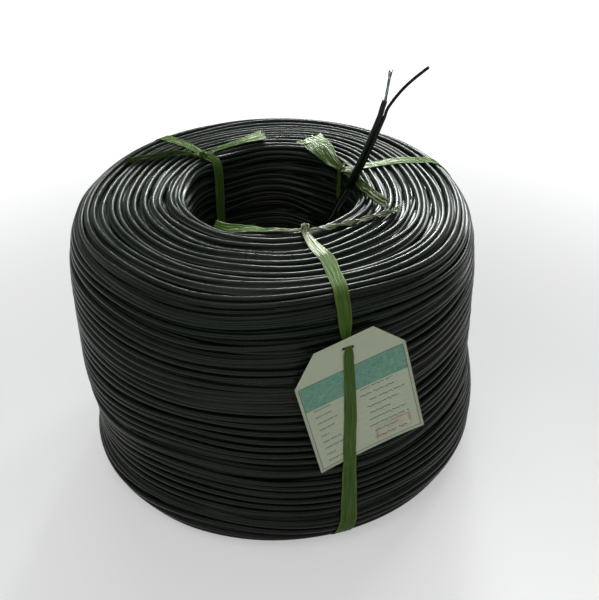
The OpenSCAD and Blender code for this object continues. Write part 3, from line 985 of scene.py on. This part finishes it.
def end_face_place(r):
    """Height of the end face at a radius, and its outward way as (r, z)."""
    rim_mid = BORE_R + RIM_R
    if r < rim_mid:
        r = max(r, BORE_R + 2.5 * MM)
        rise = math.sqrt(RIM_R ** 2 - (rim_mid - r) ** 2)
        return COIL_H - RIM_R + rise, ((r - rim_mid) / RIM_R, rise / RIM_R)
    crown_w = COIL_R - SHOULDER_W - rim_mid
    tilt = CROWN_DROP / crown_w
    return COIL_H - CROWN_DROP * (r - rim_mid) / crown_w, (tilt, 1.0)


def make_free_end(name, stations, surface, twist=0.0, lean=0.0, **settings):
    """A free end of a tie, laid over the end face and turned about its length by twist and lean."""
    flat = [around(math.radians(s[0]), s[1] * MM, 0) for s in stations]
    run = np.cumsum([0] + [(b - a).length for a, b in zip(flat[:-1], flat[1:])])
    table = [(run[k], *stations[k]) for k in range(len(stations))]
    at, (angles, radii, widths, rises, pale, fray) = along_stations(table, FILM_STEP)
    angles, radii, widths, rises = (smoothed(v, 3) for v in (angles, radii, widths, rises))
    places, ways = [], []
    for angle, r in zip(np.radians(angles), radii * MM):
        z, (out_r, out_z) = end_face_place(r)
        places.append(around(angle, max(r, BORE_R - 8 * MM), z))
        ways.append(outward(angle, out_r, out_z).normalized())
    widths = widths * MM
    heights = seat(places, ways, widths, surface) + END_LIFT + rises * MM
    points = [p + w * h for p, w, h in zip(places, ways, heights)]
    facings = []
    for k, way in enumerate(ways):
        turn = math.radians(lean) + twist * float(at[k])
        facings.append(Matrix.Rotation(turn, 3, step_at(points, k).normalized()) @ way)
    return film_strip(name, points, facings, widths, pale=list(pale), fray=list(fray), **settings)


def make_knot(name, place, way, size, pale, **settings):
    """A small overhand knot of gathered film, pulled tight."""
    points, facings = [], []
    turn = way.to_track_quat("Z", "Y").to_matrix()
    for t in np.linspace(0, 2 * math.pi * 1.04, 46):
        spot = Vector((math.sin(t) + 2 * math.sin(2 * t), math.cos(t) - 2 * math.cos(2 * t),
                       -1.5 * math.sin(3 * t)))
        points.append(place + turn @ spot * size / 3)
        facings.append(turn @ Vector((spot.x, spot.y, 1.5 * spot.z + 0.2)).normalized())
    return film_strip(name, points, facings, [size * 1.15] * len(points), pale=pale, Step=0.0008,
                      Across=17, Crease=0.0006, **settings)


def band_loop():
    """The closed section in film steps, from the bore's foot up the bore: r, z and outward ways."""
    corners = np.array(section()[::-1])
    run = np.concatenate([[0], np.cumsum(np.linalg.norm(np.diff(corners, axis=0), axis=1))])
    s = np.arange(0, run[-1], FILM_STEP)
    r, z = np.interp(s, run, corners[:, 0]), np.interp(s, run, corners[:, 1])
    along_r, along_z = np.roll(r, -1) - np.roll(r, 1), np.roll(z, -1) - np.roll(z, 1)
    size = np.hypot(along_r, along_z)
    return r, z, -along_z / size, along_r / size


def loop_place(kind, value, r, z, way_r, way_z):
    """The loop's sample at a radius on the end face or base, or a height on the side or in the bore."""
    value = value * MM
    there, measure = {"top": ((way_z > 0.5) & (z > COIL_H / 2), r), "side": (way_r > 0.25, z),
                      "base": (way_z < -0.7, r), "bore": (way_r < -0.5, z)}[kind]
    return int(np.argmin(np.where(there, np.abs(measure - value), 9.0)))


def make_band(name, stations, knot, turns, card=None, **settings):
    """A tie's band: from its knot over the end face, down the side, under the base and up the bore."""
    r, z, way_r, way_z = band_loop()
    first = loop_place(*stations[0][:2], r, z, way_r, way_z)
    r, z, way_r, way_z = (np.roll(v, -first) for v in (r, z, way_r, way_z))
    at = [loop_place(*s[:2], r, z, way_r, way_z) for s in stations]
    steps = np.arange(at[-1] + 1)
    angles, widths, pale = (np.interp(steps, at, [s[c] for s in stations]) for c in (2, 3, 4))
    angles = np.radians(smoothed(angles, 6))
    widths = smoothed(widths, 4) * MM
    places = [around(a, r[k], z[k]) for k, a in enumerate(angles)]
    ways = [outward(a, way_r[k], way_z[k]) for k, a in enumerate(angles)]
    heights = seat(places, ways, widths, turns, reach=2)
    in_bore = np.array([way_r[k] < -0.5 for k in steps])
    heights = np.where(in_bore, seat(places, ways, widths, turns, reach=12), heights)
    if card:
        over = seat(places, ways, widths, card, reach=3)
        below_slit = np.clip((LABEL_Z + SLIT_Z + 1.8 * MM - z[steps]) / (2 * MM), 0, 1)
        outside = np.where(way_r[steps] > 0.25, below_slit, 0)
        heights = heights * (1 - outside) + over * outside
    points = [p + w * (h + BAND_LIFT) for p, w, h in zip(places, ways, heights)]
    for point in points:
        point.z = max(point.z, 0.3 * MM)
    points = [knot] + points + [knot]
    ways = [ways[0]] + ways + [ways[-1]]
    widths = [widths[0]] + list(widths) + [widths[-1]]
    pale = [pale[0]] + list(pale) + [pale[-1]]
    return film_strip(name, points, ways, widths, pale=pale, **settings)


# Each tie: its knot (angle, radius and height in mm, paleness), its band and its free ends.
# A band's stations are (kind, radius or height in mm, angle, width in mm, paleness). A free end's are
# (angle, radius in mm, width in mm, height over its seat in mm, paleness, share that is frayed away).
# Paleness is partly the film's own whitening, strongest at the knots, and partly painted sheen: it is
# set high where a tie lies on the lit end face and falls where the tie bends over the shoulder onto the
# shaded side.
TIES = {
    "tie_front": {
        "knot": (18.5, 82.5, 262.5, 0.75),
        "band": [
            ("top", 84, 17.8, 4, 0.9), ("top", 90, 18, 6.5, 0.95), ("top", 104, 18.4, 10, 0.95),
            ("top", 114, 19.6, 12, 0.72), ("top", 122, 20.2, 12.5, 0.12), ("top", 133, 19.3, 12, 0.05),
            ("side", 246, 17.8, 12, 0.02), ("side", 230, 17.4, 11, 0.0), ("side", 220, 17.2, 8.5, 0.0),
            ("side", 214, 17.2, 3.5, 0.0), ("side", 208, 17.2, 8, 0.0), ("side", 175, 17.8, 9.5, 0.0),
            ("side", 141, 18.2, 11, 0.05), ("side", 96, 17.9, 11.5, 0.05), ("side", 53, 15.9, 14, 0.1),
            ("side", 17, 16.2, 15.5, 0.1), ("base", 120, 17.5, 13, 0.1), ("bore", 30, 18.5, 9, 0.1),
            ("bore", 244, 18.5, 6, 0.3), ("bore", 258, 18.5, 4, 0.5)],
        "ends": [
            {"Pleats": 3.0, "Seed": 3.0, "twist": -18.0, "stations": [
                (18, 82, 3.2, 1.5, 0.85, 0), (11, 80.5, 4.5, 1.5, 0.85, 0), (3, 78.5, 7, 3, 0.72, 0),
                (-6, 77, 9.5, 4.5, 0.55, 0), (-15, 76.5, 11, 5, 0.45, 0), (-25, 76.5, 10.5, 4, 0.4, 0),
                (-34, 77, 9, 2.5, 0.35, 0.1), (-38.5, 77.5, 8, 2, 0.3, 0.6)]},
            {"Pleats": 3.0, "Seed": 5.0, "twist": 190.0, "stations": [
                (19, 83, 3.6, 1.5, 0.85, 0), (28, 86, 4.4, 1.2, 0.78, 0), (36, 88.5, 4.6, 1, 0.72, 0),
                (45, 92, 4.8, 1, 0.7, 0), (53, 97.5, 5, 1, 0.74, 0), (59.5, 105, 5, 1.2, 0.7, 0),
                (65.5, 112, 6, 1.8, 0.7, 0.2), (68.6, 117, 8, 2.4, 0.75, 0.8)]}]},
    "tie_right": {
        "knot": (118, 72, 255.5, 0.55),
        "band": [
            ("top", 80, 113, 6, 0.85), ("top", 90, 112, 9, 0.8), ("top", 102, 113, 10, 0.72),
            ("top", 118, 113.5, 12, 0.6), ("top", 132, 113, 12.5, 0.56), ("side", 246, 109, 12, 0.45),
            ("side", 228, 107.5, 12, 0.2), ("side", 100, 106, 12, 0.1), ("side", 40, 107, 12, 0.1),
            ("base", 120, 110, 11, 0.1), ("bore", 30, 119, 8, 0.1), ("bore", 225, 124, 5, 0.0),
            ("bore", 258, 122, 4.5, 0.1)],
        "ends": [
            {"Pleats": 8.0, "Seed": 7.0, "stations": [
                (121, 73, 5, 0, 0.45, 0), (128, 75, 9, 2, 0.55, 0), (138, 79, 16, 3.5, 0.58, 0),
                (148, 83, 24, 4.5, 0.62, 0), (154, 86.5, 32, 5.5, 0.66, 0.3),
                (158, 89, 40, 7, 0.72, 0.8)]},
            {"Pleats": 5.0, "Crease": 0.0018, "Seed": 8.0, "twist": 6.0, "stations": [
                (117, 72.5, 4, 0.5, 0.6, 0), (107, 74.5, 5, 1.5, 0.5, 0), (99, 77.5, 6.5, 1.5, 0.48, 0),
                (91, 78.5, 7.5, 1.5, 0.5, 0), (84, 80.5, 8, 1.2, 0.58, 0), (76, 88, 8.5, 1, 0.62, 0),
                (71, 99, 8.5, 1, 0.66, 0.25), (68, 106, 8, 1.6, 0.75, 0.8)]}]},
    "tie_left": {
        "knot": (226.5, 83, 262.5, 0.4),
        "band": [
            ("top", 86, 226, 5, 0.45), ("top", 98, 221, 7, 0.42), ("top", 118, 219.5, 9, 0.42),
            ("top", 134, 219.5, 11, 0.42), ("side", 246, 220.5, 11.5, 0.35),
            ("side", 228, 222, 11.5, 0.2), ("side", 60, 226, 11.5, 0.1), ("base", 120, 227, 11, 0.1),
            ("bore", 30, 222, 8, 0.0), ("bore", 200, 220.5, 10, 0.0), ("bore", 244, 220, 10, 0.05),
            ("bore", 259, 221, 9, 0.1)],
        "ends": [
            {"Pleats": 6.0, "Seed": 11.0, "stations": [
                (226, 84, 4, 1.2, 0.4, 0), (219.4, 86, 6, 1.2, 0.4, 0), (211.5, 88, 8, 1.5, 0.4, 0),
                (201.2, 90, 10.5, 2, 0.45, 0), (193, 92, 15, 3, 0.5, 0), (186, 95, 22, 4, 0.6, 0.35),
                (180.5, 97, 28, 5.5, 0.6, 0.8)]},
            {"Pleats": 5.0, "Seed": 13.0, "lean": 50.0, "twist": 3.0, "clear": 0.35, "stations": [
                (227, 86, 4, 1, 0.3, 0), (226.5, 94, 6, 1, 0.3, 0), (227.5, 104, 8, 1.5, 0.35, 0),
                (231, 114, 9.5, 2.5, 0.35, 0), (235.6, 122.5, 10, 2.5, 0.4, 0),
                (239.3, 133, 9.5, 2, 0.4, 0.1), (241, 143, 9, 1, 0.4, 0.2),
                (242, 152, 7, 0.3, 0.4, 0.6)]}]}}


def make_tie(name, surface, card=None):
    """One tie: its band, its knot and its two free ends, joined as one piece of film."""
    plan = TIES[name]
    seed = 1.0 + list(TIES).index(name)
    angle, r, z, pale = plan["knot"]
    angle = math.radians(angle)
    knot = around(angle, r * MM, z * MM)
    way = outward(angle, *end_face_place(r * MM)[1])
    pieces = [make_band(name, plan["band"], knot, surface, card, Pleats=3.0, Seed=seed, Crease=0.0004),
              make_knot(name + "_knot", knot, way, KNOT, pale, Seed=seed + 0.5)]
    for k, end in enumerate(plan["ends"], 1):
        pieces.append(make_free_end(f"{name}_end_{k}", surface=surface, **end))
    return ride(join(name, pieces), "film", name)


# ---- lights and stage
FLOOR_W = 16.0


def area_light(name, place, target, size, power, colour=(1, 1, 1), spread=180):
    light = new_object(name, bpy.data.lights.new(name, "AREA"))
    light.data.shape = "RECTANGLE"
    light.data.size, light.data.size_y = size
    light.data.energy = power
    light.data.color = colour
    light.location = place
    light.rotation_euler = (Vector(place) - Vector(target)).to_track_quat("Z", "Y").to_euler()
    light.data.spread = math.radians(spread)


def set_stage():
    """A pale floor, two windows and the sky behind the coil, and a soft light before it."""
    mesh = bpy.data.meshes.new("floor")
    half = FLOOR_W / 2
    mesh.from_pydata([(-half, -half, 0), (half, -half, 0), (half, half, 0), (-half, half, 0)], [],
                     [(0, 1, 2, 3)])
    material, graph, shader = new_material("pale_floor")
    # The white backdrop, seen by the camera and in what shines, and the floor keeps the coil's shadow
    path = graph.node("ShaderNodeLightPath")
    seen = 0.0
    for ray in ("Is Camera Ray", "Is Glossy Ray", "Is Transmission Ray"):
        seen = graph.math("MAXIMUM", seen, Wire(graph, path.outputs[ray]))
    # The glow is weaker near the coil and rises to near white a metre away: painted shade round the
    # coil, on top of its real shadow, which also darkens the floor that the coil's sides reflect.
    x, y, _ = graph.separate(graph.wire("ShaderNodeTexCoord", output="Object"))
    away = graph.math("SQRT", x * x + y * y)
    feed(graph, shader, Base_Color=(0.55, 0.55, 0.55, 1), Roughness=0.8, Specular_IOR_Level=0.1,
         Emission_Color=(1, 1, 1, 1), Emission_Strength=seen * graph.ramp(away, 0.3, 1.0, 0.42, 0.93))
    mesh.materials.append(material)
    new_object("floor", mesh)
    area_light("window", (0.58, 0.8, 0.78), (0.14, 0.03, 0.25), (0.5, 0.22), 0.25, spread=32)
    area_light("high_window", (0.22, 1.1, 0.95), (0.07, -0.14, 0.25), (0.45, 0.2), 0.58, (0.93, 1, 0.97),
               spread=23)
    area_light("sky", (0.0, 1.5, 1.9), (0, 0, 0.2), (1.8, 1.2), 17, (0.92, 1, 0.96))
    area_light("soft_front", (-0.5, -0.9, 1.9), (0, 0, 0.15), (1.3, 1.3), 6)
    world = bpy.data.worlds.new("room")
    bpy.context.scene.world = world
    world.use_nodes = True
    # The room lights the coil evenly and dimly, and the camera sees it as pale as the floor
    graph = Graph(world.node_tree)
    seen = graph.wire("ShaderNodeLightPath", output="Is Camera Ray")
    feed(graph, world.node_tree.nodes["Background"], Color=(0.35, 0.35, 0.35, 1),
         Strength=seen * 1.8 + 1.0)
    bpy.context.scene.view_settings.view_transform = "Standard"


# ---- the whole coil
set_camera()
DUST = shader_group("dust", {"Scale": 40.0, "Amount": 0.5}, "Mask", dust_mask)
STREAKS = shader_group(
    "lengthwise_streaks", {"Across": 0.0, "Along": 0.0, "Density": 4.0, "Stretch": 30.0, "Seed": 0.0},
    "Mask", lengthwise_mask)
UNEVEN = shader_group("uneven_surface", {"Scale": 400.0, "Depth": 0.0001}, "Height", fine_bump)
jacket = jacket_finish()
film = film_finish()
COPPER = plain_finish("copper", (0.75, 0.42, 0.28), 0.35, metallic=1.0)
STEEL = plain_finish("steel", (0.42, 0.4, 0.38), 0.4, metallic=1.0)
INSULATION = [plain_finish("teal_insulation", (0.09, 0.32, 0.27), 0.45),
              plain_finish("white_insulation", (0.62, 0.62, 0.58), 0.45),
              plain_finish("blue_green_insulation", (0.12, 0.2, 0.2), 0.45),
              plain_finish("grey_insulation", (0.33, 0.31, 0.28), 0.45)]
FILM_TREE = film_tree()
make_cable_end(jacket)
coil = make_coil(jacket)
turns_surface = surface_tree(coil)
label = make_card(card_finish())
card_surface = surface_tree([*coil, label])
make_tie("tie_front", turns_surface, card_surface)
make_tie("tie_right", turns_surface)
make_tie("tie_left", turns_surface)
set_stage()
